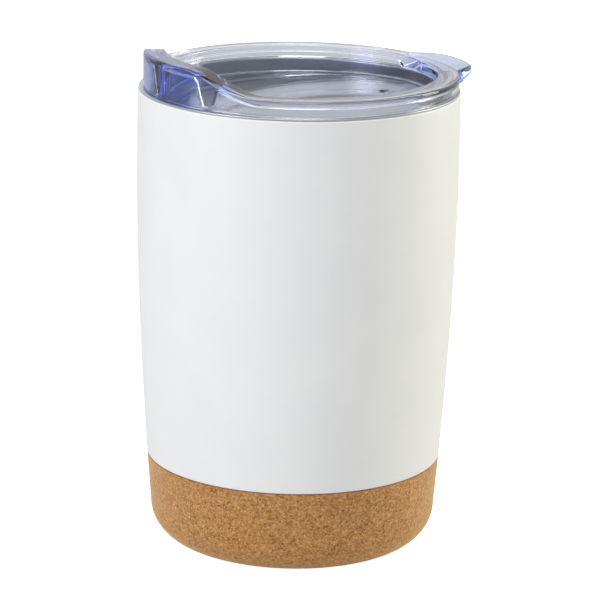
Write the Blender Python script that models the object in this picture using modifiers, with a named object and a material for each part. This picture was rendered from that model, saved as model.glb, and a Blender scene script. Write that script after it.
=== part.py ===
"""Insulated travel cup: a double-walled steel tumbler on a cork base, with a clear push-on lid.

Metres, +Z up.  The origin is the centre of the flat underside, on the cup's axis.
The drinking spout is at -X and the thumb tab is at +X; the XZ plane is a plane of symmetry.
Run with: blender --background --python part.py
"""

import math

import bmesh
import bpy

MM = 0.001

# ---- driving dimensions, in millimetres -------------------------------------------------------
RIM_Z = 118.7             # top edge of the coated outer wall
CORK_TOP_Z = 22.7         # joint line between the coat and the cork
GAP = 0.3                 # clearance kept between touching pieces
SHEET = 0.6               # steel sheet
BODY_STEPS = 48           # facets round the body
LID_STEPS = 72            # facets round the lid
SMALL_STEPS = 24          # facets round the small pieces
WALL_RINGS = 10           # rings down the outer wall

# Outer surface of the body: radius against height, gently barrelled and narrowing to the base.
BASE_R = 37.05            # where the rounded bottom edge begins
BASE_ROUND = 9.5          # radius of that edge
BELLY_R = 41.15           # widest radius
BELLY_Z = 98.0            # height of the widest ring
MOUTH_R = 41.0            # radius at the top edge
SIDE_POWER = 1.8          # how sharply the side curves in towards the base

# Cork base
CORK_WALL = 3.0
CORK_FLOOR = 3.4
CORK_CORNER = 5.0         # inside corner, and the foot of the steel wall that stands in it

# Vacuum closure in the outer base
DIMPLE_R = 5.0
DIMPLE_UP = 1.4
DIMPLE_SLANT = 1.0        # the dimple's side leans in by this much
DIMPLE_WALL = 0.3         # and is this thick, measured level
PUMP_HOLE_R = 1.2
BEAD_R = 3.0
BEAD_T = 0.9

# Getter
GETTER_X = 14.0
GETTER_R = 4.0
GETTER_T = 1.6
GETTER_CHAMFER = 0.4
HOLDER_SHEET = 0.4

# Inner liner
BORE_R = 38.9             # mouth of the liner
MOUTH_DEPTH = 9.0         # straight length of the mouth
SHOULDER = 11.0           # length over which the bore then narrows
LINER_INSET = 3.6         # outer surface to liner bore, below the mouth
LINER_FOOT_INSET = 2.8    # further inset, where the outer wall steps in behind the cork
LINER_FOOT_Z = (26.0, 46.0)
LINER_FLOOR_Z = 11.0      # drinking side of the liner's floor
LINER_CORNER = 6.0
LINER_CORNER_DEG = 60.0   # the wall's corner is rolled this far under before the floor's weld
FLOOR_DOME = 1.0
FLOOR_RING = 4.0          # width of the floor's raised edge
LIP_Z = RIM_Z + 0.5       # top of the bare steel lip
LIP_OUTER_R = 40.8
LIP_ROUND = 0.4

# Lid
FLANGE_R = 40.1           # outer edge of the flange
FLANGE_SHIFT = 0.5        # the flange's centre lies this far towards the tab
FLANGE_BOTTOM_Z = LIP_Z + GAP
FLANGE_TOP_Z = RIM_Z + 4.6
RIM_INNER_R = 34.6        # inner edge of the flat rim
RIM_ROUND = 0.3           # inner edge of the rim
EDGE_ROUND = 0.8          # outer edge of the rim
PLUG_R = 36.6             # outside of the plug below the flange
PLUG_INNER_R = 34.2
PLUG_BOTTOM_Z = RIM_Z - 8.4
PLUG_LEAD = 0.3           # the plug's end is this much smaller, to lead it in
PLUG_DRAFT = 0.2
FLOOR_Z = RIM_Z - 4.0     # top of the recess floor, on the axis
FLOOR_SLOPE = 0.07        # the floor falls towards the spout
FLOOR_T = 1.6
FLOOR_FILLET = 0.8
POCKET_R = 38.4           # outer wall of the hollow under the rim
SEAT_R = 39.1             # the flange rests on the lip up to here
POCKET_TOP = 1.8          # web over that hollow
SPOUT_RISE = 5.3
SPOUT_FLAT_DEG = 19.0     # half-angle of the level top of the spout
SPOUT_END_DEG = 50.5      # half-angle where its flanks run out
TAB_TIP_X = 46.2
TAB_CORNER = (44.3, 9.3)  # end corner of the thumb tab
TAB_ROOT_DEG = 20.5       # where the tab's sides leave the flange
TAB_TIP_T = 1.9           # the underside slopes up to this thickness at the tip
TAB_SLOPE = 5.0           # reach over which it slopes
SIP_SLOT = (6.0, 17.0)    # drinking slot: along X, along Y
SIP_SLOT_X = -27.5
VENT_R = 1.3
VENT_X = 24.0
CUT_REACH = 6.0           # how far the cutters stand clear of the floor

# Gasket
GROOVE_TOP_Z = RIM_Z - 2.6
GROOVE_BOTTOM_Z = RIM_Z - 5.6
GROOVE_R = 35.7
GASKET_EDGE = 0.3         # half the height of the ring's outer edge
GASKET_STEP = 0.4         # the ring stands this far out of its groove before it narrows


def smoothstep(t):
    t = min(max(t, 0.0), 1.0)
    return t * t * (3.0 - 2.0 * t)


def body_radius(z):
    """Outer radius of the body at height z, above the rounded bottom edge."""
    if z >= BELLY_Z:
        t = (z - BELLY_Z) / (RIM_Z - BELLY_Z)
        return BELLY_R + (MOUTH_R - BELLY_R) * t * t
    t = (BELLY_Z - z) / (BELLY_Z - BASE_ROUND)
    return BELLY_R - (BELLY_R - BASE_R) * t ** SIDE_POWER


def body_outline(z_from, z_to, count):
    """Points (r, z) on the outer surface, from z_from to z_to."""
    heights = [z_from + (z_to - z_from) * i / (count - 1) for i in range(count)]
    return [(body_radius(z), z) for z in heights]


def arc(cx, cz, radius, start_deg, end_deg, count):
    """Points (r, z) on an arc; 0 degrees points outward and 90 degrees up."""
    points = []
    for i in range(count):
        a = math.radians(start_deg + (end_deg - start_deg) * i / (count - 1))
        points.append((cx + radius * math.cos(a), cz + radius * math.sin(a)))
    return points


# ---- scene and materials ----------------------------------------------------------------------
def clear_scene():
    for obj in list(bpy.data.objects):
        bpy.data.objects.remove(obj, do_unlink=True)


def new_collection(name):
    collection = bpy.data.collections.new(name)
    bpy.context.scene.collection.children.link(collection)
    return collection


def material(name, colour, roughness, metallic=0.0, transmission=0.0):
    mat = bpy.data.materials.new(name)
    mat.use_nodes = True
    shader = mat.node_tree.nodes["Principled BSDF"]
    shader.inputs["Base Color"].default_value = (*colour, 1.0)
    shader.inputs["Roughness"].default_value = roughness
    shader.inputs["Metallic"].default_value = metallic
    shader.inputs["Transmission Weight"].default_value = transmission
    mat.diffuse_color = (*colour, 1.0)
    return mat


# ---- building blocks --------------------------------------------------------------------------
def turned(name, profile, steps, collection):
    """A turned solid: the profile (r, z) in millimetres runs down the outer side and back inside."""
    mesh = bpy.data.meshes.new(name)
    points = [(r * MM, 0.0, z * MM) for r, z in profile]
    on_axis = profile[0][0] == 0.0 and profile[-1][0] == 0.0
    edges = [(i, i + 1) for i in range(len(points) - 1)]
    if not on_axis:
        edges.append((len(points) - 1, 0))
    mesh.from_pydata(points, edges, [])
    obj = bpy.data.objects.new(name, mesh)
    collection.objects.link(obj)
    screw = obj.modifiers.new("Screw", "SCREW")
    screw.axis = "Z"
    screw.angle = math.tau
    screw.steps = steps
    screw.render_steps = steps
    screw.use_merge_vertices = True
    screw.merge_threshold = 0.00001
    screw.use_smooth_shade = True
    return obj


def apply_modifiers(obj):
    """Replace the object's mesh by the mesh its modifiers make."""
    depsgraph = bpy.context.evaluated_depsgraph_get()
    mesh = bpy.data.meshes.new_from_object(obj.evaluated_get(depsgraph))
    old = obj.data
    obj.modifiers.clear()
    obj.data = mesh
    bpy.data.meshes.remove(old)
    mesh.name = obj.name


def finish_piece(obj, mat):
    obj.data.materials.clear()
    obj.data.materials.append(mat)
    for polygon in obj.data.polygons:
        polygon.use_smooth = True
        polygon.material_index = 0
    obj.data.set_sharp_from_angle(angle=math.radians(35.0))


def cut(obj, cutter):
    boolean = obj.modifiers.new("Cut " + cutter.name, "BOOLEAN")
    boolean.operation = "DIFFERENCE"
    boolean.solver = "EXACT"
    boolean.object = cutter


def as_cutter(obj, cutters):
    for owner in list(obj.users_collection):
        owner.objects.unlink(obj)
    cutters.objects.link(obj)
    obj.hide_render = True
    obj.display_type = "WIRE"


# ---- body -------------------------------------------------------------------------------------
def cork_base(parts, mat):
    """Cork cup round the foot of the steel body, with a well-rounded bottom edge."""
    inner_r = body_radius(CORK_TOP_Z) - CORK_WALL
    profile = [(0.0, CORK_FLOOR)]
    profile += arc(inner_r - CORK_CORNER, CORK_FLOOR + CORK_CORNER, CORK_CORNER, -90.0, 0.0, 5)
    profile += [(inner_r, CORK_TOP_Z)]
    profile += body_outline(CORK_TOP_Z, BASE_ROUND + 3.0, 3)
    profile += arc(BASE_R - BASE_ROUND, BASE_ROUND, BASE_ROUND, 0.0, -90.0, 9)
    profile += [(0.0, 0.0)]
    obj = turned("cork_base", profile, BODY_STEPS, parts)
    finish_piece(obj, mat)
    return obj


def outer_wall(parts, mat):
    """Coated outer shell: barrelled above the cork, stepped in to stand inside it."""
    step_z = CORK_TOP_Z + GAP
    foot_r = body_radius(CORK_TOP_Z) - CORK_WALL - GAP
    foot_z = CORK_FLOOR + GAP
    corner = CORK_CORNER - GAP
    centre = (foot_r - corner, foot_z + corner)
    top_round = 0.4
    profile = [(MOUTH_R - top_round, RIM_Z)]
    profile += body_outline(RIM_Z - top_round, step_z, WALL_RINGS)
    profile += [(foot_r, step_z)]
    profile += arc(*centre, corner, 0.0, -90.0, 5)
    profile += arc(*centre, corner - SHEET, -90.0, 0.0, 5)
    profile += [(foot_r - SHEET, step_z + SHEET)]
    profile += [(r - SHEET, z) for r, z in body_outline(step_z + SHEET, RIM_Z - top_round, WALL_RINGS)]
    profile += [(MOUTH_R - top_round - SHEET, RIM_Z)]
    obj = turned("outer_wall", profile, BODY_STEPS, parts)
    finish_piece(obj, mat)
    return obj


def outer_base(parts, mat):
    """Steel disc closing the vacuum space from below, with a dimple and a pump-out hole."""
    low_z = CORK_FLOOR + GAP
    radius = body_radius(CORK_TOP_Z) - CORK_WALL - GAP - (CORK_CORNER - GAP) - GAP
    up_z = low_z + DIMPLE_UP
    profile = [
        (radius, low_z + SHEET),
        (radius, low_z),
        (DIMPLE_R, low_z),
        (DIMPLE_R - DIMPLE_SLANT, up_z),
        (PUMP_HOLE_R, up_z),
        (PUMP_HOLE_R, up_z + SHEET),
        (DIMPLE_R - DIMPLE_SLANT - DIMPLE_WALL, up_z + SHEET),
        (DIMPLE_R - DIMPLE_WALL, low_z + SHEET),
    ]
    obj = turned("outer_base", profile, BODY_STEPS, parts)
    finish_piece(obj, mat)
    return obj


def vacuum_seal(parts, mat):
    """Bead of sealing glass in the dimple, closing the pump-out hole."""
    top_z = CORK_FLOOR + DIMPLE_UP
    side_z = top_z - BEAD_T * 2.0 / 3.0
    profile = [(0.0, top_z), (BEAD_R, top_z), (BEAD_R * 0.8, side_z), (0.0, top_z - BEAD_T)]
    obj = turned("vacuum_seal", profile, SMALL_STEPS, parts)
    finish_piece(obj, mat)
    return obj


def liner_radius(z):
    """Bore of the liner: the mouth, a shoulder, a constant gap to the outer wall, the foot."""
    low, high = LINER_FOOT_Z
    follow = body_radius(z) - LINER_INSET - LINER_FOOT_INSET * smoothstep((high - z) / (high - low))
    shoulder = smoothstep((RIM_Z - MOUTH_DEPTH - z) / SHOULDER)
    return BORE_R + (follow - BORE_R) * shoulder


def liner_wall(parts, mat):
    """Bare steel liner, with the lip that covers the top edge of the outer wall."""
    low_z = LINER_FLOOR_Z + LINER_CORNER
    low_r = liner_radius(low_z)
    centre = (low_r - LINER_CORNER, low_z)
    heights = [RIM_Z - MOUTH_DEPTH - drop for drop in (0.0, 4.0, 7.0, SHOULDER)]
    heights += [80.0, 62.0, 46.0, 36.0, 26.0]
    bore = [(liner_radius(z), z) for z in heights]
    profile = [
        (BORE_R + LIP_ROUND, LIP_Z),
        (LIP_OUTER_R - LIP_ROUND / 2.0, LIP_Z),
        (LIP_OUTER_R, RIM_Z + GAP),
        (BORE_R + SHEET, RIM_Z + GAP),
    ]
    profile += [(r + SHEET, z) for r, z in bore]
    profile += arc(*centre, LINER_CORNER + SHEET, 0.0, -LINER_CORNER_DEG, 5)
    profile += arc(*centre, LINER_CORNER, -LINER_CORNER_DEG, 0.0, 5)
    profile += bore[::-1]
    profile += [(BORE_R, LIP_Z - LIP_ROUND)]
    obj = turned("liner_wall", profile, BODY_STEPS, parts)
    finish_piece(obj, mat)
    return obj


def liner_base(parts, mat):
    """Slightly domed steel disc welded into the foot of the liner."""
    low_z = LINER_FLOOR_Z + LINER_CORNER
    corner = math.radians(LINER_CORNER_DEG)
    edge_r = liner_radius(low_z) - LINER_CORNER * (1.0 - math.cos(corner)) - GAP
    edge_z = low_z - LINER_CORNER * math.sin(corner)
    top = [
        (0.0, LINER_FLOOR_Z + FLOOR_DOME),
        (edge_r * 0.5, LINER_FLOOR_Z + FLOOR_DOME * 0.7),
        (edge_r - FLOOR_RING, LINER_FLOOR_Z),
        (edge_r, edge_z),
    ]
    under = [(r, z - SHEET) for r, z in reversed(top)]
    obj = turned("liner_base", top + under, BODY_STEPS, parts)
    finish_piece(obj, mat)
    return obj


def getter_low_z():
    """Underside of the getter's holder, just above the outer base."""
    return CORK_FLOOR + GAP + SHEET + GAP


def getter_holder(parts, mat):
    """Shallow steel cup that carries the getter tablet on the outer base."""
    inner_r = GETTER_R + GAP
    outer_r = inner_r + HOLDER_SHEET
    profile = [
        (0.0, HOLDER_SHEET),
        (inner_r, HOLDER_SHEET),
        (inner_r, GETTER_T),
        (outer_r, GETTER_T),
        (outer_r, 0.0),
        (0.0, 0.0),
    ]
    obj = turned("getter_holder", profile, SMALL_STEPS, parts)
    obj.location = (GETTER_X * MM, 0.0, getter_low_z() * MM)
    finish_piece(obj, mat)
    return obj


def getter_pellet(parts, mat):
    """Pressed getter tablet that keeps the vacuum, off the axis under the liner's floor."""
    profile = [
        (0.0, GETTER_T),
        (GETTER_R - GETTER_CHAMFER, GETTER_T),
        (GETTER_R, GETTER_T - GETTER_CHAMFER),
        (GETTER_R, 0.0),
        (0.0, 0.0),
    ]
    obj = turned("getter_pellet", profile, SMALL_STEPS, parts)
    obj.location = (GETTER_X * MM, 0.0, (getter_low_z() + HOLDER_SHEET + GAP) * MM)
    finish_piece(obj, mat)
    return obj


# ---- lid --------------------------------------------------------------------------------------
def spout_rise(angle):
    """Height of the raised rim above the level rim, at an angle from +X in radians."""
    off = abs(math.degrees(math.atan2(math.sin(angle - math.pi), math.cos(angle - math.pi))))
    return SPOUT_RISE * (1.0 - smoothstep((off - SPOUT_FLAT_DEG) / (SPOUT_END_DEG - SPOUT_FLAT_DEG)))


def tab_reach(angle):
    """How far the flange's edge stands out for the thumb tab, at an angle from +X in radians."""
    off = abs(math.atan2(math.sin(angle), math.cos(angle)))
    root = math.radians(TAB_ROOT_DEG)
    if off >= root:
        return 0.0
    corner_x, corner_y = TAB_CORNER[0] - FLANGE_SHIFT, TAB_CORNER[1]
    tip_x = TAB_TIP_X - FLANGE_SHIFT
    if off <= math.atan2(corner_y, corner_x):
        # the end is an arc through the tip and both corners
        sagitta = tip_x - corner_x
        end_r = (corner_y ** 2 + sagitta ** 2) / (2.0 * sagitta)
        centre_x = tip_x - end_r
        along = centre_x * math.cos(off)
        reach = along + math.sqrt(end_r ** 2 - (centre_x * math.sin(off)) ** 2)
    else:
        # the sides are straight, from a corner to the root
        root_x, root_y = FLANGE_R * math.cos(root), FLANGE_R * math.sin(root)
        dx, dy = root_x - corner_x, root_y - corner_y
        reach = (corner_x * dy - corner_y * dx) / (math.cos(off) * dy - math.sin(off) * dx)
    return reach - FLANGE_R


def lid_profile():
    """Section through the level part of the lid, without spout and tab."""
    outer = [
        (RIM_INNER_R + RIM_ROUND, FLANGE_TOP_Z),
        (FLANGE_R - EDGE_ROUND, FLANGE_TOP_Z),
        (FLANGE_R - EDGE_ROUND * 0.3, FLANGE_TOP_Z - EDGE_ROUND * 0.3),
        (FLANGE_R, FLANGE_TOP_Z - EDGE_ROUND),
        (FLANGE_R, FLANGE_BOTTOM_Z),
        (SEAT_R, FLANGE_BOTTOM_Z),
        (POCKET_R, FLANGE_BOTTOM_Z),
        (POCKET_R, FLANGE_TOP_Z - POCKET_TOP),
        (PLUG_R, FLANGE_TOP_Z - POCKET_TOP),
        (PLUG_R, FLANGE_BOTTOM_Z),
        (PLUG_R, GROOVE_TOP_Z),
        (GROOVE_R, GROOVE_TOP_Z),
        (GROOVE_R, GROOVE_BOTTOM_Z),
        (PLUG_R, GROOVE_BOTTOM_Z),
        (PLUG_R - PLUG_LEAD, PLUG_BOTTOM_Z),
        (PLUG_INNER_R - PLUG_DRAFT, PLUG_BOTTOM_Z),
    ]
    floor = [
        (PLUG_INNER_R - PLUG_DRAFT, FLOOR_Z - FLOOR_T),
        (0.0, FLOOR_Z - FLOOR_T),
    ]
    inside = [
        (0.0, FLOOR_Z),
        (PLUG_INNER_R - FLOOR_FILLET, FLOOR_Z),
        (PLUG_INNER_R, FLOOR_Z + FLOOR_FILLET),
        (RIM_INNER_R, FLANGE_TOP_Z - RIM_ROUND),
    ]
    return inside + outer + floor


def shape_lid(mesh):
    """Raise the spout, pull out the tab and slope the floor of the turned lid."""
    near = 0.1
    inner_top = (PLUG_INNER_R + RIM_INNER_R) / 2.0
    for vertex in mesh.vertices:
        x, y, z = (c / MM for c in vertex.co)
        radius = math.hypot(x, y)
        angle = math.atan2(y, x)
        on_floor = radius < PLUG_INNER_R + near and -FLOOR_T - near < z - FLOOR_Z < 1.0
        if on_floor:
            z += FLOOR_SLOPE * x
        if z > FLANGE_BOTTOM_Z + near and radius > inner_top:
            z += spout_rise(angle)
        if radius > FLANGE_R - EDGE_ROUND - near and z > FLANGE_BOTTOM_Z - near:
            reach = tab_reach(angle)
            if z < FLANGE_BOTTOM_Z + near:
                z += (FLANGE_TOP_Z - FLANGE_BOTTOM_Z - TAB_TIP_T) * min(reach / TAB_SLOPE, 1.0)
            x += reach * math.cos(angle)
            y += reach * math.sin(angle)
        if z > RIM_Z and radius > RIM_INNER_R - near:
            x += FLANGE_SHIFT
        vertex.co = (x * MM, y * MM, z * MM)
    mesh.update()


def weld(mesh):
    work = bmesh.new()
    work.from_mesh(mesh)
    bmesh.ops.remove_doubles(work, verts=work.verts, dist=0.000001)
    bmesh.ops.recalc_face_normals(work, faces=work.faces)
    work.to_mesh(mesh)
    work.free()


def slot_cutter(cutters):
    """Round-ended cutter for the drinking slot."""
    curve = bpy.data.curves.new("sip_slot_cutter", "CURVE")
    curve.dimensions = "2D"
    curve.fill_mode = "BOTH"
    curve.extrude = CUT_REACH * MM
    spline = curve.splines.new("POLY")
    half_x, half_y = SIP_SLOT[0] / 2.0, SIP_SLOT[1] / 2.0
    points = []
    for centre_y, start in ((half_y - half_x, 0.0), (half_x - half_y, 180.0)):
        points += arc(0.0, centre_y, half_x, start, start + 180.0, 7)
    spline.points.add(len(points) - 1)
    for point, (px, py) in zip(spline.points, points):
        point.co = (px * MM, py * MM, 0.0, 1.0)
    spline.use_cyclic_u = True
    guide = bpy.data.objects.new("sip_slot_guide", curve)
    bpy.context.scene.collection.objects.link(guide)
    depsgraph = bpy.context.evaluated_depsgraph_get()
    mesh = bpy.data.meshes.new_from_object(guide.evaluated_get(depsgraph))
    weld(mesh)
    bpy.data.objects.remove(guide, do_unlink=True)
    obj = bpy.data.objects.new("sip_slot_cutter", mesh)
    obj.location = (SIP_SLOT_X * MM, 0.0, FLOOR_Z * MM)
    as_cutter(obj, cutters)
    return obj


def vent_cutter(cutters):
    bpy.ops.mesh.primitive_cylinder_add(vertices=16, radius=VENT_R * MM, depth=2.0 * CUT_REACH * MM)
    obj = bpy.context.active_object
    obj.name = "vent_cutter"
    obj.location = (VENT_X * MM, 0.0, (FLOOR_Z - FLOOR_T / 2.0) * MM)
    as_cutter(obj, cutters)
    return obj


def lid_body(parts, cutters, mat):
    """Clear moulded lid: plug, sloping floor, rim, raised spout and thumb tab in one piece."""
    obj = turned("lid_body", lid_profile(), LID_STEPS, parts)
    apply_modifiers(obj)
    shape_lid(obj.data)
    cut(obj, slot_cutter(cutters))
    cut(obj, vent_cutter(cutters))
    finish_piece(obj, mat)
    return obj


def lid_gasket(parts, mat):
    """Silicone ring in the plug's groove, pressing on the liner's bore."""
    outer_r = BORE_R - GAP
    inner_r = GROOVE_R + GAP
    top = GROOVE_TOP_Z - GAP
    bottom = GROOVE_BOTTOM_Z + GAP
    middle = (top + bottom) / 2.0
    profile = [
        (outer_r, middle + GASKET_EDGE),
        (outer_r, middle - GASKET_EDGE),
        (PLUG_R + GASKET_STEP, bottom),
        (inner_r, bottom),
        (inner_r, top),
        (PLUG_R + GASKET_STEP, top),
    ]
    obj = turned("lid_gasket", profile, BODY_STEPS, parts)
    finish_piece(obj, mat)
    return obj


def main():
    clear_scene()
    parts = new_collection("insulated_travel_cup")
    cutters = new_collection("cutters")
    coat = material("white_powder_coat", (0.86, 0.87, 0.87), 0.45)
    steel = material("brushed_steel", (0.60, 0.61, 0.62), 0.28, metallic=1.0)
    cork = material("agglomerated_cork", (0.42, 0.25, 0.12), 0.85)
    glass = material("sealing_glass", (0.10, 0.13, 0.12), 0.2)
    getter = material("getter_metal", (0.30, 0.30, 0.31), 0.7, metallic=0.6)
    clear = material("clear_lid_plastic", (0.86, 0.88, 0.97), 0.05, transmission=1.0)
    silicone = material("clear_silicone", (0.80, 0.82, 0.84), 0.4, transmission=0.4)

    outer_wall(parts, coat)
    outer_base(parts, steel)
    vacuum_seal(parts, glass)
    getter_holder(parts, steel)
    getter_pellet(parts, getter)
    liner_wall(parts, steel)
    liner_base(parts, steel)
    cork_base(parts, cork)

    # The lid lifts and turns on the cup's axis, so its pieces hang from an empty on that axis.
    lid_axis = bpy.data.objects.new("lid_axis", None)
    parts.objects.link(lid_axis)
    for piece in (lid_body(parts, cutters, clear), lid_gasket(parts, silicone)):
        piece.parent = lid_axis


main()
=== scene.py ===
"""Looks of the insulated travel cup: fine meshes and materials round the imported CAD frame.

Lengths are in millimetres in the shape functions and become metres in the meshes.  The spout is at
-X, the thumb tab at +X, and Z runs up the cup's axis.
"""

import math

import bpy
from mathutils import Matrix, Vector, noise


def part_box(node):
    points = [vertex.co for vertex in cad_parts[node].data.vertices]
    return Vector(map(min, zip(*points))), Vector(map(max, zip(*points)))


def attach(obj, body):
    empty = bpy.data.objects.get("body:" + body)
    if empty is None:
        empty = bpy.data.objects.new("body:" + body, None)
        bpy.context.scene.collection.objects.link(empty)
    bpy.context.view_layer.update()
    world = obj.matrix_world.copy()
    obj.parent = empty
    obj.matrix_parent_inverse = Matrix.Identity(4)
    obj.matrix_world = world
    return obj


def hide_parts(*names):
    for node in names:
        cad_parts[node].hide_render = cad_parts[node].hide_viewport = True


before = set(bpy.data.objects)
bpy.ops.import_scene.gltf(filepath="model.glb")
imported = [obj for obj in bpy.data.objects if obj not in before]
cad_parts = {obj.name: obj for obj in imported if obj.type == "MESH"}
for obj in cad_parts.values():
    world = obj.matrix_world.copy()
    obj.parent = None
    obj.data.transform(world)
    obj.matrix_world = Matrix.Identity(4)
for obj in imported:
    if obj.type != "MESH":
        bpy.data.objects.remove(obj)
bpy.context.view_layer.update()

MM = 0.001
BODY_STEPS = 256          # points round the turned pieces
CORNER_POINTS = 6         # points on each rounded corner
CORNER_PULL = 0.5523      # handle length that makes a quarter of a circle
CORNER_SHARE = 0.45       # most of an edge that its corner may take
SUPPORT = 0.25            # a ring this close to each rounded corner keeps the flats flat
SUPPORT_SHARE = 0.49      # most of an edge that lies before that ring
SHARP_DEG = 40.0          # edges bent more than this are shaded sharp
WHITE = (1.0, 1.0, 1.0, 1.0)

# ---- sizes read from the frame ----------------------------------------------------------------
WALL_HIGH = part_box("outer_wall")[1]
CORK_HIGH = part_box("cork_base")[1]
LINER_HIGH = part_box("liner_wall")[1]
LID_LOW, LID_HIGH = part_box("lid_body")
GASKET_LOW, GASKET_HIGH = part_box("lid_gasket")

RIM_Z = WALL_HIGH.z / MM              # top edge of the coat
BELLY_R = WALL_HIGH.x / MM            # widest radius of the body
CORK_TOP_Z = CORK_HIGH.z / MM
LIP_Z = LINER_HIGH.z / MM             # top of the bare steel lip
LIP_R = LINER_HIGH.x / MM
SPOUT_TOP_Z = LID_HIGH.z / MM
PLUG_BOTTOM_Z = LID_LOW.z / MM
TAB_TIP_X = LID_HIGH.x / MM
GASKET_R = GASKET_HIGH.x / MM

# ---- the body's section -----------------------------------------------------------------------
GAP = 0.3                             # joint between the steel and the cork
SHEET = 0.6                           # thickness of both steel walls
BASE_R = BELLY_R - 4.1
BASE_ROUND = 9.5
BELLY_Z = RIM_Z - 20.7                # height of the widest radius
MOUTH_R = BELLY_R - 0.15
SIDE_POWER = 1.8                      # how the side curves in below the belly
RIM_ROUND = 0.45                      # edge of the coat at the rim
JOINT_ROUND = 0.12                    # edge of the coat at the joint line
EDGE_CLEAR = 0.3                      # from those edges to the nearest ring of the side
RIM_POINTS = 7
JOINT_POINTS = 5
BEND_POINTS = 9                       # on each wide bend at the foot of a piece
WALL_RINGS = 60
WALL_INNER_RINGS = 30
CORK_WALL = 3.0
CORK_FLOOR = 3.4
CORK_CORNER = 5.0
CORK_STEPS = 480                      # points round the cork, close enough for its pits
CORK_ROUND = 0.2                      # edge of the cork at the joint line
CORK_CLEAR = 0.2                      # from the cork's edges to the nearest ring of the side
CORK_UNDER_R = (22.0, 16.0, 8.0, 0.0)
CORK_EDGE_POINTS = 4
CORK_RINGS = 50                       # on the side, and again on the rounded foot
GRANULE = 0.9                         # size of the cork's pits
PIT_DEPTH = 0.07                      # depth where the raised noise is 1
PIT_GAIN = 1.6
PIT_LIFT = 0.1
BORE_R = LIP_R - 1.9
LINER_INSET = 3.6                     # from the outside of the coat to the inside of the liner
LINER_FOOT_INSET = 2.8                # further in at the liner's foot
LINER_FOOT_Z = (26.0, 46.0)
LINER_FLOOR_Z = 11.0
LINER_CORNER = 6.0
LINER_CORNER_DEG = 60.0
LINER_TOP_Z = RIM_Z - 3.0             # highest ring of the liner below its lip
LINER_FOOT_CLEAR = 0.5
LINER_RINGS = 60
SHOULDER_Z = RIM_Z - 9.0              # the straight bore ends here
SHOULDER_H = 11.0
LIP_END_Z = RIM_Z - 2.0
LIP_UNDER_Z = RIM_Z + 0.12            # just clear of the coat
LIP_INNER_ROUND = 0.55
LIP_OUTER_ROUND = 0.3
LIP_UNDER_ROUND = 0.1
FLOOR_DOME = 1.0
FLOOR_RING = 4.0                      # width of the pressed ring at the liner floor's edge
FLOOR_CLEAR = 0.05                    # between the liner's floor and its wall
FLOOR_RINGS = 40

# ---- the lid's section ------------------------------------------------------------------------
FLANGE_R = 40.1
FLANGE_SHIFT = 0.5                    # the flange sits this far towards the tab
FLANGE_BOTTOM_Z = LIP_Z + 0.15
FLANGE_ROUND = 0.8                    # top edge of the flange
FLANGE_LOW_ROUND = 0.3
SPOUT_RISE = 5.3
FLANGE_TOP_Z = SPOUT_TOP_Z - SPOUT_RISE
RIM_INNER_R = 34.6
RIM_INNER_ROUND = 0.35
SHIFT_FROM_R = RIM_INNER_R - 0.4      # above the rim, everything outside this is flange
PLUG_R = 36.6
PLUG_INNER_R = 34.2
PLUG_LEAD = 0.3                       # the plug narrows by this much towards its foot
PLUG_DRAFT = 0.2
PLUG_ROUND = 0.5
FLOOR_Z = RIM_Z - 4.0                 # the recess's floor at the axis
FLOOR_SLOPE = 0.07
FLOOR_T = 1.6
FLOOR_FILLET = 0.9
UNDER_FILLET = 0.6
POCKET_R = 38.4                       # the hollow under the flange reaches out to here
POCKET_TOP = 1.8                      # thickness of the flange over the hollow
POCKET_ROUND = 0.15
POCKET_FILLET = 0.5
RIB_DEG = (180.0, 152.0)              # ribs in the hollow, on both sides
RIB_HALF_DEG = 1.2
RIB_FLANK_DEG = 4.0
RIB_FOOT = 0.4                        # depth of the hollow under a rib
SEAT_R = 39.1
SEAT_ROUND = 0.2
SPOUT_FLAT_DEG = 19.0
SPOUT_END_DEG = 50.5
TAB_CORNER = (TAB_TIP_X - 1.9, 9.3)
TAB_ROOT_DEG = 20.5
TAB_TIP_T = 1.9
TAB_BLEND = 5.0                       # reach at which the tab has its full thinning
TAB_ROUND_LOSS = 0.3                  # its top edge is rounded by this much less there
TAB_SOFT_DEG = 1.2
TAB_SOFT_SAMPLES = 4                  # on each side of an angle
LID_STEP_DEG = 1.25
TAB_STEP_DEG = 0.5
TAB_HALF_DEG = 25.0                   # the finer steps run this far each side of the tab
LID_SHARP_DEG = 30.0
SIP_SLOT = (6.0, 17.0)
SIP_SLOT_X = -27.5
SIP_SLOT_POINTS = 17                  # on each round end
SIP_SLOT_CUT = (6.0, 2.0)             # how far the cutter goes below and above the floor
VENT_R = 1.3
VENT_X = 24.0
VENT_POINTS = 48
VENT_CUT = (4.0, 4.0)
GROOVE_TOP_Z = RIM_Z - 2.6
GROOVE_BOTTOM_Z = RIM_Z - 5.6
GROOVE_R = 35.7
GROOVE_ROUND = 0.12
GROOVE_FILLET = 0.15

# ---- the gasket's section ---------------------------------------------------------------------
GASKET_LIP_Z = 0.75                   # each lip's height from the middle
GASKET_LIP_ROUND = 0.25
GASKET_VALLEY = 0.9                   # depth between the lips
GASKET_VALLEY_ROUND = 0.4
GASKET_STEP = 0.4                     # the ends stand out this far from the plug
GASKET_STEP_ROUND = 0.3
GASKET_CLEAR = 0.05                   # from the bottom of the groove
GASKET_ROUND = 0.2


def smoothstep(t):
    t = min(max(t, 0.0), 1.0)
    return t * t * (3.0 - 2.0 * t)


# ---- meshes -----------------------------------------------------------------------------------
def new_object(name, vertices, faces):
    """A mesh object from points in millimetres."""
    mesh = bpy.data.meshes.new(name)
    mesh.from_pydata([(x * MM, y * MM, z * MM) for x, y, z in vertices], [], faces)
    mesh.validate()
    mesh.update()
    obj = bpy.data.objects.new(name, mesh)
    bpy.context.scene.collection.objects.link(obj)
    return obj


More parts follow.
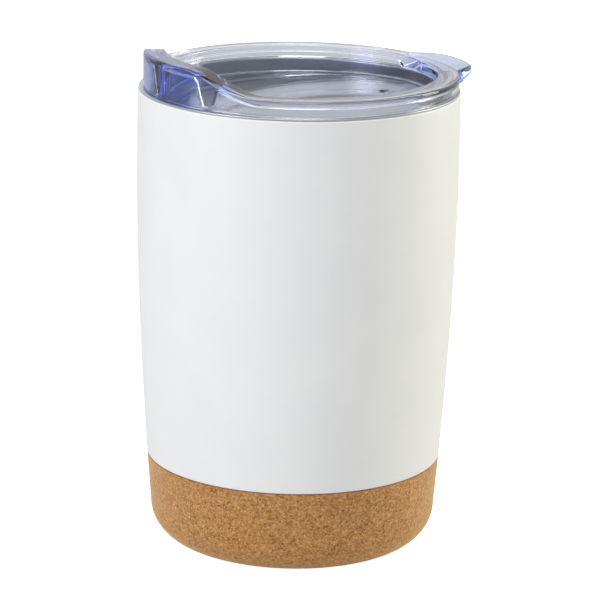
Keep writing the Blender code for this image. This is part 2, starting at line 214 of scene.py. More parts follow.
def shade(obj, sharp_deg=SHARP_DEG):
    obj.data.shade_smooth()
    obj.data.set_sharp_from_angle(angle=math.radians(sharp_deg))


def rounded(corners, closed):
    """Replace each corner (r, z, radius) by a curve, with a support point on each side of it."""
    count = len(corners)
    points = []
    for i, (r, z, radius) in enumerate(corners):
        if not closed and i in (0, count - 1):
            points.append((r, z))
            continue
        here = Vector((r, z))
        before = Vector(corners[i - 1][:2]) - here
        after = Vector(corners[(i + 1) % count][:2]) - here
        back = min(radius, CORNER_SHARE * before.length, CORNER_SHARE * after.length)
        ring_a = min(back + SUPPORT, SUPPORT_SHARE * before.length)
        ring_b = min(back + SUPPORT, SUPPORT_SHARE * after.length)
        u, w = before.normalized(), after.normalized()
        start, end = here + u * back, here + w * back
        pull_a = here + u * back * (1.0 - CORNER_PULL)
        pull_b = here + w * back * (1.0 - CORNER_PULL)
        points.append(tuple(here + u * ring_a))
        for k in range(CORNER_POINTS):
            t = k / (CORNER_POINTS - 1)
            s = 1.0 - t
            p = start * s ** 3 + pull_a * 3 * s * s * t + pull_b * 3 * s * t * t + end * t ** 3
            points.append(tuple(p))
        points.append(tuple(here + w * ring_b))
    return points


def swept(name, sections, closed):
    """Join sections of points (x, y, z), one for each angle round the axis, into a solid.

    A section that isn't closed starts and ends on the axis, at points that all of them share.
    """
    vertices = [] if closed else [sections[0][0], sections[0][-1]]
    rows = []
    for section in sections:
        ring = section if closed else section[1:-1]
        rows.append([len(vertices) + k for k in range(len(ring))])
        vertices += ring
    faces = []
    for j, a in enumerate(rows):
        b = rows[(j + 1) % len(rows)]
        width = len(a)
        for k in range(width if closed else width - 1):
            n = (k + 1) % width
            faces.append((a[k], a[n], b[n], b[k]))
        if not closed:
            faces.append((0, a[0], b[0]))
            faces.append((1, b[-1], a[-1]))
    return new_object(name, vertices, faces)


def turned(name, profile, closed, steps=BODY_STEPS):
    """A solid of revolution; the profile (r, z) runs down its outer side."""
    sections = []
    for j in range(steps):
        a = math.tau * j / steps
        sections.append([(r * math.cos(a), r * math.sin(a), z) for r, z in profile])
    obj = swept(name, sections, closed)
    shade(obj)
    return obj


def body_radius(z):
    """Outside radius of the body, coat and cork alike, above its rounded foot."""
    if z >= BELLY_Z:
        t = (z - BELLY_Z) / (RIM_Z - BELLY_Z)
        return BELLY_R + (MOUTH_R - BELLY_R) * t * t
    t = (BELLY_Z - z) / (BELLY_Z - BASE_ROUND)
    return BELLY_R - (BELLY_R - BASE_R) * t ** SIDE_POWER


def body_outline(z_from, z_to, count):
    """Points down the body's side."""
    heights = [z_from + (z_to - z_from) * i / (count - 1) for i in range(count)]
    return [(body_radius(z), z) for z in heights]


def arc(cx, cz, radius, start_deg, end_deg, count):
    """Points along an arc about (cx, cz)."""
    points = []
    for i in range(count):
        a = math.radians(start_deg + (end_deg - start_deg) * i / (count - 1))
        points.append((cx + radius * math.cos(a), cz + radius * math.sin(a)))
    return points


# ---- body pieces ------------------------------------------------------------------------------
def make_outer_wall():
    """Coated shell, with a rounded top edge and a softened edge above the joint line."""
    step_z = CORK_TOP_Z + GAP
    foot_r = body_radius(CORK_TOP_Z) - CORK_WALL - GAP
    foot_z = CORK_FLOOR + GAP
    corner = CORK_CORNER - GAP
    centre = (foot_r - corner, foot_z + corner)
    high_z = RIM_Z - RIM_ROUND
    low_r = body_radius(step_z)
    low_z = step_z + JOINT_ROUND
    profile = arc(MOUTH_R - RIM_ROUND, high_z, RIM_ROUND, 90.0, 0.0, RIM_POINTS)
    profile += body_outline(high_z - EDGE_CLEAR, low_z + EDGE_CLEAR, WALL_RINGS)
    profile += arc(low_r - JOINT_ROUND, low_z, JOINT_ROUND, 0.0, -90.0, JOINT_POINTS)
    profile += [(foot_r, step_z)]
    profile += arc(*centre, corner, 0.0, -90.0, BEND_POINTS)
    profile += arc(*centre, corner - SHEET, -90.0, 0.0, BEND_POINTS)
    profile += [(foot_r - SHEET, step_z + SHEET)]
    inside = body_outline(step_z + SHEET, high_z, WALL_INNER_RINGS)
    profile += [(r - SHEET, z) for r, z in inside]
    profile += [(MOUTH_R - RIM_ROUND - SHEET, RIM_Z)]
    return turned("coated_wall", profile, True)


def liner_radius(z):
    """Inside radius: a straight bore at the mouth, then a wall that follows the body's side."""
    low, high = LINER_FOOT_Z
    foot = smoothstep((high - z) / (high - low))
    follow = body_radius(z) - LINER_INSET - LINER_FOOT_INSET * foot
    shoulder = smoothstep((SHOULDER_Z - z) / SHOULDER_H)
    return BORE_R + (follow - BORE_R) * shoulder


def make_liner():
    """Bare steel liner: folded lip, straight mouth, shoulder, wall and rounded foot."""
    low_z = LINER_FLOOR_Z + LINER_CORNER
    low_r = liner_radius(low_z)
    centre = (low_r - LINER_CORNER, low_z)
    drop = LINER_TOP_Z - low_z - LINER_FOOT_CLEAR
    heights = [LINER_TOP_Z - i * drop / (LINER_RINGS - 1) for i in range(LINER_RINGS)]
    bore = [(liner_radius(z), z) for z in heights]
    lip = rounded([
        (BORE_R, LIP_END_Z, 0.0),
        (BORE_R, LIP_Z, LIP_INNER_ROUND),
        (LIP_R, LIP_Z, LIP_OUTER_ROUND),
        (LIP_R, LIP_UNDER_Z, LIP_UNDER_ROUND),
        (BORE_R + SHEET, LIP_UNDER_Z, LIP_UNDER_ROUND),
        (BORE_R + SHEET, LIP_END_Z, 0.0),
    ], False)
    profile = lip + [(r + SHEET, z) for r, z in bore]
    profile += arc(*centre, LINER_CORNER + SHEET, 0.0, -LINER_CORNER_DEG, BEND_POINTS)
    profile += arc(*centre, LINER_CORNER, -LINER_CORNER_DEG, 0.0, BEND_POINTS)
    profile += bore[::-1]
    return turned("steel_liner", profile, True)


def make_liner_base():
    """Domed floor of the liner, with a pressed ring near its edge."""
    low_z = LINER_FLOOR_Z + LINER_CORNER
    corner = math.radians(LINER_CORNER_DEG)
    edge_r = liner_radius(low_z) - LINER_CORNER * (1.0 - math.cos(corner)) - FLOOR_CLEAR
    edge_z = low_z - LINER_CORNER * math.sin(corner)
    dome_r = edge_r - FLOOR_RING

    def height(r):
        if r > dome_r:
            t = (r - dome_r) / (edge_r - dome_r)
            return LINER_FLOOR_Z + (edge_z - LINER_FLOOR_Z) * t * t
        return LINER_FLOOR_Z + FLOOR_DOME * 0.5 * (1.0 + math.cos(math.pi * r / dome_r))

    radii = [edge_r * i / FLOOR_RINGS for i in range(FLOOR_RINGS + 1)]
    top = [(r, height(r)) for r in radii]
    under = [(r, z - SHEET) for r, z in reversed(top)]
    return turned("liner_floor", top + under, False)


def make_cork():
    """Cork cup, very slightly pitted except at its top, up its bore and on its flat underside."""
    outer_r = body_radius(CORK_TOP_Z)
    inner_r = outer_r - CORK_WALL
    edge_z = CORK_TOP_Z - CORK_ROUND
    outside = arc(outer_r - CORK_ROUND, edge_z, CORK_ROUND, 90.0, 0.0, CORK_EDGE_POINTS)
    outside += body_outline(edge_z - CORK_CLEAR, BASE_ROUND + CORK_CLEAR, CORK_RINGS)
    outside += arc(BASE_R - BASE_ROUND, BASE_ROUND, BASE_ROUND, 0.0, -90.0, CORK_RINGS)
    corner_r, corner_z = inner_r - CORK_CORNER, CORK_FLOOR + CORK_CORNER
    inside = arc(corner_r, corner_z, CORK_CORNER, -90.0, 0.0, BEND_POINTS)
    profile = [(0.0, CORK_FLOOR)] + inside + [(inner_r, CORK_TOP_Z)] + outside
    profile += [(r, 0.0) for r in CORK_UNDER_R]
    obj = turned("cork_cup", profile, False, CORK_STEPS)
    grain = 1.0 / GRANULE
    for vertex in obj.data.vertices:
        p = vertex.co / MM
        underside = p.z < 0.05
        top = p.z > CORK_TOP_Z - 0.3
        bore = math.hypot(p.x, p.y) < inner_r + 0.5 and p.z > 6.0
        if underside or top or bore:
            continue
        depth = PIT_DEPTH * max(0.0, noise.noise(p * grain) * PIT_GAIN + PIT_LIFT)
        centre = Vector((0.0, 0.0, max(p.z, BASE_ROUND)))
        vertex.co -= (p - centre).normalized() * depth * MM
    return obj


# ---- lid pieces -------------------------------------------------------------------------------
def turn_from_x(angle):
    """How far an angle is from +X, either way round, in radians."""
    return abs(math.atan2(math.sin(angle), math.cos(angle)))


def spout_rise(angle):
    """How far the spout rises above the flange."""
    off = math.degrees(turn_from_x(angle - math.pi))
    fall = smoothstep((off - SPOUT_FLAT_DEG) / (SPOUT_END_DEG - SPOUT_FLAT_DEG))
    return SPOUT_RISE * (1.0 - fall)


def tab_outline(angle):
    """How far the tab reaches past the flange: straight flanks and a slightly curved end."""
    off = turn_from_x(angle)
    root = math.radians(TAB_ROOT_DEG)
    if off >= root:
        return 0.0
    corner_x, corner_y = TAB_CORNER[0] - FLANGE_SHIFT, TAB_CORNER[1]
    tip_x = TAB_TIP_X - FLANGE_SHIFT
    if off <= math.atan2(corner_y, corner_x):
        sagitta = tip_x - corner_x
        end_r = (corner_y ** 2 + sagitta ** 2) / (2.0 * sagitta)
        centre_x = tip_x - end_r
        half_chord = math.sqrt(end_r ** 2 - (centre_x * math.sin(off)) ** 2)
        reach = centre_x * math.cos(off) + half_chord
    else:
        root_x, root_y = FLANGE_R * math.cos(root), FLANGE_R * math.sin(root)
        dx, dy = root_x - corner_x, root_y - corner_y
        reach = (corner_x * dy - corner_y * dx) / (math.cos(off) * dy - math.sin(off) * dx)
    return reach - FLANGE_R


def tab_reach(angle):
    """The tab's outline with its corners softened."""
    window = math.radians(TAB_SOFT_DEG)
    steps = range(-TAB_SOFT_SAMPLES, TAB_SOFT_SAMPLES + 1)
    samples = [tab_outline(angle + window * k / TAB_SOFT_SAMPLES) for k in steps]
    return sum(samples) / len(samples)


def rib_fill(angle):
    """1 where a rib, or the solid root of the tab, closes the hollow under the rim; 0 elsewhere."""
    off = math.degrees(turn_from_x(angle))
    fill = 1.0 - smoothstep((off - TAB_ROOT_DEG + RIB_FLANK_DEG) / RIB_FLANK_DEG)
    for rib in RIB_DEG:
        fill = max(fill, 1.0 - smoothstep((abs(off - rib) - RIB_HALF_DEG) / RIB_FLANK_DEG))
    return fill


def lid_section(angle):
    """Corners (r, z, radius) of the lid's section at an angle from +X."""
    rise = spout_rise(angle)
    reach = tab_reach(angle)
    top = FLANGE_TOP_Z + rise
    hollow = top - POCKET_TOP - FLANGE_BOTTOM_Z - RIB_FOOT
    pocket = FLANGE_BOTTOM_Z + RIB_FOOT + hollow * (1.0 - rib_fill(angle))
    fillet = min(POCKET_FILLET, (pocket - FLANGE_BOTTOM_Z) / 4.0)
    tilt = FLOOR_SLOPE * math.cos(angle)
    floor = FLOOR_Z + tilt * PLUG_INNER_R
    under = FLOOR_Z - FLOOR_T + tilt * PLUG_INNER_R
    blend = min(reach / TAB_BLEND, 1.0)
    tip = (FLANGE_TOP_Z - FLANGE_BOTTOM_Z - TAB_TIP_T) * blend
    return [
        (0.0, FLOOR_Z, 0.0),
        (PLUG_INNER_R, floor, FLOOR_FILLET),
        (RIM_INNER_R, top, RIM_INNER_ROUND),
        (FLANGE_R + reach, top, FLANGE_ROUND - TAB_ROUND_LOSS * blend),
        (FLANGE_R + reach, FLANGE_BOTTOM_Z + tip, FLANGE_LOW_ROUND),
        (SEAT_R, FLANGE_BOTTOM_Z, SEAT_ROUND),
        (POCKET_R, FLANGE_BOTTOM_Z, POCKET_ROUND),
        (POCKET_R, pocket, fillet),
        (PLUG_R, pocket, fillet),
        (PLUG_R, GROOVE_TOP_Z, GROOVE_ROUND),
        (GROOVE_R, GROOVE_TOP_Z, GROOVE_FILLET),
        (GROOVE_R, GROOVE_BOTTOM_Z, GROOVE_FILLET),
        (PLUG_R, GROOVE_BOTTOM_Z, GROOVE_ROUND),
        (PLUG_R - PLUG_LEAD, PLUG_BOTTOM_Z, PLUG_ROUND),
        (PLUG_INNER_R - PLUG_DRAFT, PLUG_BOTTOM_Z, PLUG_ROUND),
        (PLUG_INNER_R - PLUG_DRAFT, under, UNDER_FILLET),
        (0.0, FLOOR_Z - FLOOR_T, 0.0),
    ]


def lid_angles():
    """Angles round the lid, closer together across the tab."""
    angles = []
    degrees = -180.0
    while degrees < 180.0:
        angles.append(math.radians(degrees))
        fine = -TAB_HALF_DEG <= degrees < TAB_HALF_DEG
        degrees += TAB_STEP_DEG if fine else LID_STEP_DEG
    return angles


def prism(name, outline, reach):
    """A bar through the lid's floor, reaching so far below and above it."""
    low, high = FLOOR_Z - reach[0], FLOOR_Z + reach[1]
    count = len(outline)
    vertices = [(x, y, low) for x, y in outline] + [(x, y, high) for x, y in outline]
    faces = [tuple(range(count))[::-1], tuple(range(count, 2 * count))]
    faces += [(i, (i + 1) % count, count + (i + 1) % count, count + i) for i in range(count)]
    return new_object(name, vertices, faces)


def slot_cutter():
    """Round-ended bar that cuts the drinking slot."""
    half_x, half_y = SIP_SLOT[0] / 2.0, SIP_SLOT[1] / 2.0
    outline = []
    for centre_y, start in ((half_y - half_x, 0.0), (half_x - half_y, 180.0)):
        outline += arc(SIP_SLOT_X, centre_y, half_x, start, start + 180.0, SIP_SLOT_POINTS)
    return prism("slot_cutter", outline, SIP_SLOT_CUT)


def vent_cutter():
    """Round bar that cuts the air vent."""
    last_deg = 360.0 - 360.0 / VENT_POINTS
    return prism("vent_cutter", arc(VENT_X, 0.0, VENT_R, 0.0, last_deg, VENT_POINTS), VENT_CUT)


def cut(obj, cutter):
    """Cut cutter out of obj for good, and remove the cutter."""
    boolean = obj.modifiers.new("cut", "BOOLEAN")
    boolean.operation = "DIFFERENCE"
    boolean.solver = "EXACT"
    boolean.object = cutter
    depsgraph = bpy.context.evaluated_depsgraph_get()
    mesh = bpy.data.meshes.new_from_object(obj.evaluated_get(depsgraph))
    obj.modifiers.clear()
    obj.data = mesh
    bpy.data.objects.remove(cutter, do_unlink=True)


def make_lid():
    """The whole lid in one piece, with its drinking slot and vent cut through."""
    sections = []
    for angle in lid_angles():
        section = []
        for r, z in rounded(lid_section(angle), False):
            shift = FLANGE_SHIFT if z > RIM_Z and r > SHIFT_FROM_R else 0.0
            section.append((r * math.cos(angle) + shift, r * math.sin(angle), z))
        sections.append(section)
    obj = swept("clear_lid", sections, False)
    cut(obj, slot_cutter())
    cut(obj, vent_cutter())
    shade(obj, LID_SHARP_DEG)
    return obj


def make_gasket():
    """Silicone ring with two soft lips against the bore."""
    top, bottom = GASKET_HIGH.z / MM, GASKET_LOW.z / MM
    middle = (top + bottom) / 2.0
    profile = rounded([
        (GASKET_R, middle + GASKET_LIP_Z, GASKET_LIP_ROUND),
        (GASKET_R - GASKET_VALLEY, middle, GASKET_VALLEY_ROUND),
        (GASKET_R, middle - GASKET_LIP_Z, GASKET_LIP_ROUND),
        (PLUG_R + GASKET_STEP, bottom, GASKET_STEP_ROUND),
        (GROOVE_R + GASKET_CLEAR, bottom, GASKET_ROUND),
        (GROOVE_R + GASKET_CLEAR, top, GASKET_ROUND),
        (PLUG_R + GASKET_STEP, top, GASKET_STEP_ROUND),
    ], True)
    return turned("seal_ring", profile, True)


# ---- materials --------------------------------------------------------------------------------
MIX_A, MIX_B, MIX_RESULT = 6, 7, 2    # a Mix node's colour sockets, whose names aren't unique
CLOUD_DARK, CLOUD_LIGHT = 0.3, 0.7    # noise levels that give a pattern's two end colours
BRUSHED = (0.15, 0.15, 6.0)           # stretches a pattern into lines round the cup
ABSORB_COLOUR = (0.06, 0.26, 0.90, 1.0)
ABSORB_DENSITY = 36.0


class Nodes:
    """Short names for building a node material."""

    def __init__(self, name):
        self.mat = bpy.data.materials.new(name)
        self.mat.use_nodes = True
        self.tree = self.mat.node_tree
        self.shader = self.tree.nodes["Principled BSDF"]
        self.output = self.tree.nodes["Material Output"]
        self.place = self.add("ShaderNodeTexCoord").outputs["Object"]

    def add(self, kind, **settings):
        node = self.tree.nodes.new(kind)
        for key, value in settings.items():
            setattr(node, key, value)
        return node

    def link(self, source, target):
        self.tree.links.new(source, target)

    def feed(self, socket, value):
        """Give a socket a plain number or colour, or link a node's output to it."""
        if isinstance(value, (int, float, tuple)):
            socket.default_value = value
        else:
            self.link(value, socket)

    def stretched(self, scale):
        node = self.add("ShaderNodeMapping")
        node.inputs["Scale"].default_value = scale
        self.link(self.place, node.inputs["Vector"])
        return node.outputs["Vector"]

    def noise(self, size_mm, detail=2.0, roughness=0.5, vector=None):
        node = self.add("ShaderNodeTexNoise")
        node.inputs["Scale"].default_value = 1.0 / (size_mm * MM)
        node.inputs["Detail"].default_value = detail
        node.inputs["Roughness"].default_value = roughness
        self.link(vector or self.place, node.inputs["Vector"])
        return node.outputs["Fac"]

    def voronoi(self, size_mm, feature="F1"):
        node = self.add("ShaderNodeTexVoronoi", feature=feature)
        node.inputs["Scale"].default_value = 1.0 / (size_mm * MM)
        self.link(self.place, node.inputs["Vector"])
        return node

    def ramp(self, source, stops):
        node = self.add("ShaderNodeValToRGB")
        elements = node.color_ramp.elements
        while len(elements) < len(stops):
            elements.new(0.5)
        for element, (position, colour) in zip(elements, stops):
            element.position = position
            element.color = (*colour, 1.0)
        self.link(source, node.inputs["Fac"])
        return node.outputs["Color"]

    def cloudy(self, source, dark, light):
        """Drift between two colours with a noise pattern."""
        return self.ramp(source, [(CLOUD_DARK, dark), (CLOUD_LIGHT, light)])

    def brushed(self):
        """Fine lines round the cup."""
        return self.noise(1.0, 4.0, 0.7, self.stretched(BRUSHED))

    def span(self, source, low, high):
        """Map 0..1 to low..high."""
        node = self.add("ShaderNodeMapRange")
        node.inputs["To Min"].default_value = low
        node.inputs["To Max"].default_value = high
        self.link(source, node.inputs["Value"])
        return node.outputs["Result"]

    def ease(self, source, start, end):
        """0 up to start, 1 from end on, smooth between; start and end in millimetres."""
        node = self.add("ShaderNodeMapRange", interpolation_type="SMOOTHSTEP")
        node.inputs["From Min"].default_value = start * MM
        node.inputs["From Max"].default_value = end * MM
        self.link(source, node.inputs["Value"])
        return node.outputs["Result"]

    def along(self, axis):
        node = self.add("ShaderNodeSeparateXYZ")
        self.link(self.place, node.inputs["Vector"])
        return node.outputs[axis]

    def larger(self, a, b):
        node = self.add("ShaderNodeMath", operation="MAXIMUM")
        self.link(a, node.inputs[0])
        self.link(b, node.inputs[1])
        return node.outputs["Value"]

    def mix(self, factor, a, b, blend="MIX"):
        node = self.add("ShaderNodeMix", data_type="RGBA", blend_type=blend)
        self.feed(node.inputs["Factor"], factor)
        self.feed(node.inputs[MIX_A], a)
        self.feed(node.inputs[MIX_B], b)
        return node.outputs[MIX_RESULT]

    def bump(self, height, distance_mm, strength=1.0, normal=None):
        node = self.add("ShaderNodeBump")
        node.inputs["Distance"].default_value = distance_mm * MM
        node.inputs["Strength"].default_value = strength
        self.link(height, node.inputs["Height"])
        if normal is not None:
            self.link(normal, node.inputs["Normal"])
        return node.outputs["Normal"]

    def set(self, **values):
        for key, value in values.items():
            self.feed(self.shader.inputs[key.replace("_", " ")], value)


def coat_material():
    """Satin white powder coat: fine orange peel and a barely uneven sheen."""
    n = Nodes("white_powder_coat")
    tone = n.cloudy(n.noise(14.0, 3.0), (0.80, 0.81, 0.825), (0.83, 0.835, 0.845))
    peel = n.noise(0.45, 3.0, 0.6)
    n.set(Base_Color=tone, Roughness=n.span(n.noise(1.2, 2.0), 0.36, 0.46))
    n.set(Normal=n.bump(peel, 0.012, 0.5), IOR=1.5)
    return n.mat


def steel_material():
    """Plain rolled steel sheet, as on the pieces inside the vacuum space."""
    n = Nodes("plain_steel")
    lines = n.brushed()
    tone = n.cloudy(n.noise(9.0, 3.0), (0.52, 0.52, 0.53), (0.58, 0.58, 0.59))
    n.set(Base_Color=tone, Metallic=1.0)
    n.set(Roughness=n.span(lines, 0.25, 0.42), Normal=n.bump(lines, 0.01, 0.35))
    return n.mat


def liner_material():
    """Steel liner: bright brushed mouth; below it painted light, a tone paler than bare steel and
    less metallic, that stands in for the brightly lit inside.
    """
    n = Nodes("liner_steel")
    mouth = n.ease(n.along("Z"), RIM_Z - 7.5, RIM_Z - 4.5)
    lines = n.brushed()
    # painted light: below the mouth the steel is coloured near white and made less metallic,
    # standing in for light inside the cup
    painted_light_tone = n.cloudy(n.noise(9.0, 3.0), (0.93, 0.93, 0.91), (0.97, 0.97, 0.95))
    tone = n.mix(mouth, painted_light_tone, (0.56, 0.57, 0.60, 1.0))
    n.set(Base_Color=tone, Metallic=n.span(mouth, 0.45, 1.0))
    n.set(Roughness=n.span(lines, 0.32, 0.46), Normal=n.bump(lines, 0.01, 0.35))
    return n.mat


def cork_material():
    """Fine agglomerated cork: granules of many browns with dark seams, flecks and small pits."""
    n = Nodes("agglomerated_cork")
    fine_mm = 0.42
    fine = n.voronoi(fine_mm)
    coarse = n.voronoi(0.75)
    shades = [
        (0.00, (0.070, 0.026, 0.008)),
        (0.08, (0.200, 0.085, 0.026)),
        (0.28, (0.440, 0.200, 0.062)),
        (0.64, (0.545, 0.258, 0.086)),
        (0.88, (0.670, 0.350, 0.130)),
        (1.00, (0.800, 0.500, 0.240)),
    ]
    granules = []
    for cells, channel in ((fine, "Red"), (coarse, "Green")):
        separate = n.add("ShaderNodeSeparateColor")
        n.link(cells.outputs["Color"], separate.inputs["Color"])
        granules.append(n.ramp(separate.outputs[channel], shades))
    colour = n.mix(0.3, *granules)
    cloud = n.noise(6.0, 3.0)
    colour = n.mix(n.span(cloud, 0.0, 0.3), colour, (0.50, 0.24, 0.085, 1.0))
    edge = n.voronoi(fine_mm, "DISTANCE_TO_EDGE")
    seams = n.ramp(edge.outputs["Distance"], [(0.0, (0.55, 0.50, 0.45)), (0.10, WHITE[:3])])
    colour = n.mix(0.6, colour, seams, "MULTIPLY")
    relief = n.noise(0.35, 4.0, 0.7)
    normal = n.bump(fine.outputs["Distance"], 0.08, 0.5)
    normal = n.bump(relief, 0.08, 0.6, normal)
    n.set(Base_Color=colour, Roughness=n.span(cloud, 0.75, 0.92), Normal=normal)
    n.set(Sheen_Weight=1.0, Sheen_Roughness=0.45, Sheen_Tint=(1.0, 0.72, 0.42, 1.0))
    n.set(Specular_IOR_Level=0.2)
    return n.mat


def lid_material():
    """Clear moulded plastic that absorbs a little towards blue where light travels far inside it.

    The blue tint at the spout and the tab stands in for the longest of those paths.
    """
    n = Nodes("clear_lid_plastic")
    waves = n.noise(7.0, 1.0)
    spout_side = n.ease(n.along("X"), -33.0, -37.0)
    spout_top = n.ease(n.along("Z"), RIM_Z + 4.2, RIM_Z + 7.0)
    spout = n.larger(spout_side, spout_top)
    tab = n.ease(n.along("X"), 36.0, 41.0)
    tint = n.mix(spout, WHITE, (0.40, 0.50, 0.96, 1.0))
    tint = n.mix(tab, tint, (0.55, 0.64, 0.97, 1.0))
    n.set(Base_Color=tint, Transmission_Weight=1.0, IOR=1.5)
    n.set(Roughness=n.span(n.noise(3.0, 2.0), 0.0, 0.02), Normal=n.bump(waves, 0.015, 0.5))
    absorb = n.add("ShaderNodeVolumeAbsorption")
    absorb.inputs["Color"].default_value = ABSORB_COLOUR
    absorb.inputs["Density"].default_value = ABSORB_DENSITY
    n.link(absorb.outputs["Volume"], n.output.inputs["Volume"])
    return n.mat


def silicone_material():
    n = Nodes("clear_silicone")
    cloud = n.noise(2.0, 2.0)
    n.set(Base_Color=n.cloudy(cloud, (0.74, 0.77, 0.80), (0.82, 0.84, 0.86)))
    n.set(Roughness=n.span(cloud, 0.32, 0.45), Transmission_Weight=0.6, IOR=1.41)
    n.set(Normal=n.bump(n.noise(0.4, 2.0), 0.01, 0.4))
    return n.mat


def glass_bead_material():
    n = Nodes("sealing_glass")
    cloud = n.noise(0.8, 3.0)
    n.set(Base_Color=n.cloudy(cloud, (0.05, 0.07, 0.065), (0.12, 0.15, 0.14)))
    n.set(Roughness=n.span(cloud, 0.12, 0.25), Normal=n.bump(cloud, 0.02, 0.3))
    return n.mat


def getter_material():
    n = Nodes("getter_metal")
    grains = n.voronoi(0.3).outputs["Distance"]
    n.set(Base_Color=n.ramp(grains, [(0.0, (0.34, 0.33, 0.32)), (0.8, (0.18, 0.18, 0.19))]))
    n.set(Metallic=0.6, Roughness=n.span(n.noise(0.5, 3.0), 0.55, 0.8))
    n.set(Normal=n.bump(grains, 0.05, 0.5))
    return n.mat


def floor_material():
    """Pale floor that shows as white, and reflects a little less than that onto the cup."""
    n = Nodes("pale_floor")
    cloud = n.noise(400.0, 2.0)
    n.set(Base_Color=n.cloudy(cloud, (0.69, 0.69, 0.69), (0.71, 0.71, 0.71)), Roughness=0.8)
    seen = n.add("ShaderNodeLightPath").outputs["Is Camera Ray"]
    n.set(Emission_Color=WHITE, Emission_Strength=n.span(seen, 0.05, 0.95))
    return n.mat


def wear(obj, mat):
    """Give the whole object one material."""
    obj.data.materials.clear()
    obj.data.materials.append(mat)
    for polygon in obj.data.polygons:
        polygon.material_index = 0


# ---- stage ------------------------------------------------------------------------------------
VIEW_AZ = math.radians(-25.0)
VIEW_DISTANCE = 790.2
VIEW_HEIGHT = 278.5
VIEW_PITCH = math.radians(15.343)
VIEW_ROLL = math.radians(-1.089)
VIEW_YAW = math.radians(0.178)
LENS_MM = 187.1
SENSOR_MM = 36.0
CLIP_START = 0.01                     # metres
FLOOR_HALF = 3000.0
ROOM_TURN = (0.2, 0.8)                # cosines from straight behind the cup: dim, then bright
ROOM_LIGHT = (0.45, 1.0)              # the room's strength on the camera's side and behind the cup
SOFTBOX_DISTANCE = 1000.0
SOFTBOX_LENGTH = 900.0
AIM_Z = 70.0
SOFTBOXES = (                         # name, azimuth, height, width, power, colour
    ("soft_left", -56.0, 340.0, 400.0, 4.3, (0.96, 0.98, 1.0)),
    ("soft_right", 106.0, 260.0, 300.0, 5.1, (1.0, 0.96, 0.70)),
    ("soft_top", 0.0, 960.0, 400.0, 3.8, (1.0, 1.0, 1.0)),
)


def from_view(x, y, z):
    """Turn a point with x to the camera's right and y away from it into the cup's frame."""
    point = Matrix.Rotation(VIEW_AZ, 3, "Z") @ Vector((x, y, z))
    return point * MM


def add_camera():
    """The camera that was fitted to the cup's outline."""
    forward = Vector((
        math.sin(VIEW_YAW) * math.cos(VIEW_PITCH),
        math.cos(VIEW_YAW) * math.cos(VIEW_PITCH),
        -math.sin(VIEW_PITCH),
    ))
    right = Vector((math.cos(VIEW_YAW), -math.sin(VIEW_YAW), 0.0))
    up = right.cross(forward)
    rolled_right = right * math.cos(VIEW_ROLL) - up * math.sin(VIEW_ROLL)
    rolled_up = right * math.sin(VIEW_ROLL) + up * math.cos(VIEW_ROLL)
    turn = Matrix((rolled_right, rolled_up, -forward)).transposed()
    camera = bpy.data.cameras.new("camera")
    camera.lens = LENS_MM
    camera.sensor_width = SENSOR_MM
    camera.clip_start = CLIP_START
    obj = bpy.data.objects.new("camera", camera)
    bpy.context.scene.collection.objects.link(obj)
    spin = Matrix.Rotation(VIEW_AZ, 3, "Z") @ turn
    stand = from_view(0.0, -VIEW_DISTANCE, VIEW_HEIGHT)
    obj.matrix_world = Matrix.Translation(stand) @ spin.to_4x4()
    bpy.context.scene.camera = obj


def add_softbox(name, azimuth, height, width, power, colour):
    """A tall softbox one metre away, aimed at the cup; azimuth 0 is the camera's side."""
    light = bpy.data.lights.new(name, "AREA")
    light.shape = "RECTANGLE"
    light.size = width * MM
    light.size_y = SOFTBOX_LENGTH * MM
    light.energy = power
    light.color = colour
    obj = bpy.data.objects.new(name, light)
    bpy.context.scene.collection.objects.link(obj)
    away = math.sqrt(SOFTBOX_DISTANCE ** 2 - height ** 2)
    turn = math.radians(azimuth)
    start = from_view(away * math.sin(turn), -away * math.cos(turn), AIM_Z + height)
    obj.rotation_euler = (from_view(0.0, 0.0, AIM_Z) - start).to_track_quat("-Z", "Y").to_euler()
    obj.location = start


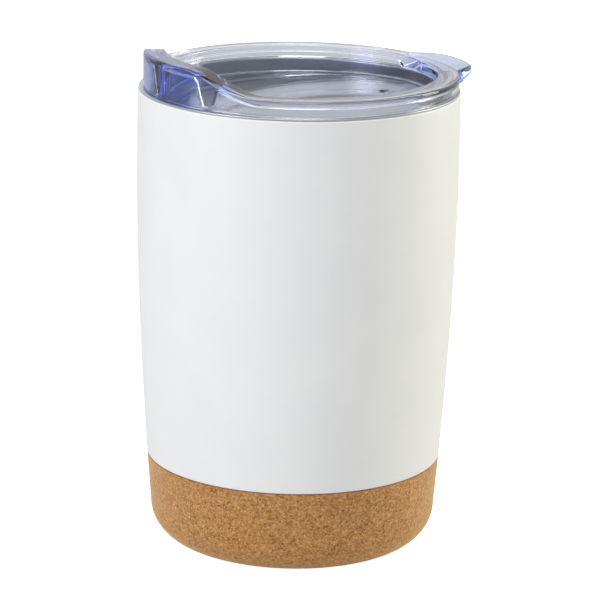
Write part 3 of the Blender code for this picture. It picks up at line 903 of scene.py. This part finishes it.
def add_world():
    """Pale room: bright behind the cup, dimmer on the camera's side, white where seen directly."""
    world = bpy.data.worlds.new("studio")
    bpy.context.scene.world = world
    world.use_nodes = True
    tree = world.node_tree
    background = tree.nodes["Background"]
    background.inputs["Color"].default_value = WHITE
    seen = tree.nodes.new("ShaderNodeBackground")
    seen.inputs["Color"].default_value = WHITE
    seen.inputs["Strength"].default_value = 1.0
    coords = tree.nodes.new("ShaderNodeTexCoord")
    toward = tree.nodes.new("ShaderNodeVectorMath")
    toward.operation = "DOT_PRODUCT"
    toward.inputs[1].default_value = from_view(0.0, 1.0, 0.0).normalized()
    tree.links.new(coords.outputs["Generated"], toward.inputs[0])
    shade_map = tree.nodes.new("ShaderNodeMapRange")
    shade_map.interpolation_type = "SMOOTHSTEP"
    shade_map.inputs["From Min"].default_value = ROOM_TURN[0]
    shade_map.inputs["From Max"].default_value = ROOM_TURN[1]
    shade_map.inputs["To Min"].default_value = ROOM_LIGHT[0]
    shade_map.inputs["To Max"].default_value = ROOM_LIGHT[1]
    tree.links.new(toward.outputs["Value"], shade_map.inputs["Value"])
    tree.links.new(shade_map.outputs["Result"], background.inputs["Strength"])
    path = tree.nodes.new("ShaderNodeLightPath")
    mix = tree.nodes.new("ShaderNodeMixShader")
    tree.links.new(path.outputs["Is Camera Ray"], mix.inputs["Fac"])
    tree.links.new(background.outputs["Background"], mix.inputs[1])
    tree.links.new(seen.outputs["Background"], mix.inputs[2])
    tree.links.new(mix.outputs["Shader"], tree.nodes["World Output"].inputs["Surface"])


def add_stage():
    """Floor, room and softboxes."""
    turns = ((-1, -1), (1, -1), (1, 1), (-1, 1))
    corners = [(x * FLOOR_HALF, y * FLOOR_HALF, 0.0) for x, y in turns]
    floor = new_object("floor", corners, [(0, 1, 2, 3)])
    wear(floor, floor_material())
    add_world()
    for softbox in SOFTBOXES:
        add_softbox(*softbox)
    bpy.context.scene.view_settings.view_transform = "Standard"


# ---- assembly ---------------------------------------------------------------------------------
def place(obj, mat, body, node):
    """Put a piece on its body in place of its CAD node."""
    wear(obj, mat)
    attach(obj, body)
    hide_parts(node)


def main():
    add_camera()
    add_stage()
    liner_steel = liner_material()
    inner_steel = steel_material()
    place(make_outer_wall(), coat_material(), "cup", "outer_wall")
    place(make_liner(), liner_steel, "cup", "liner_wall")
    place(make_liner_base(), liner_steel, "cup", "liner_base")
    place(make_cork(), cork_material(), "cup", "cork_base")
    place(make_lid(), lid_material(), "lid", "lid_body")
    place(make_gasket(), silicone_material(), "seal", "lid_gasket")
    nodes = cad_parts
    wear(nodes["outer_base"], inner_steel)
    wear(nodes["getter_holder"], inner_steel)
    wear(nodes["vacuum_seal"], glass_bead_material())
    wear(nodes["getter_pellet"], getter_material())


main()
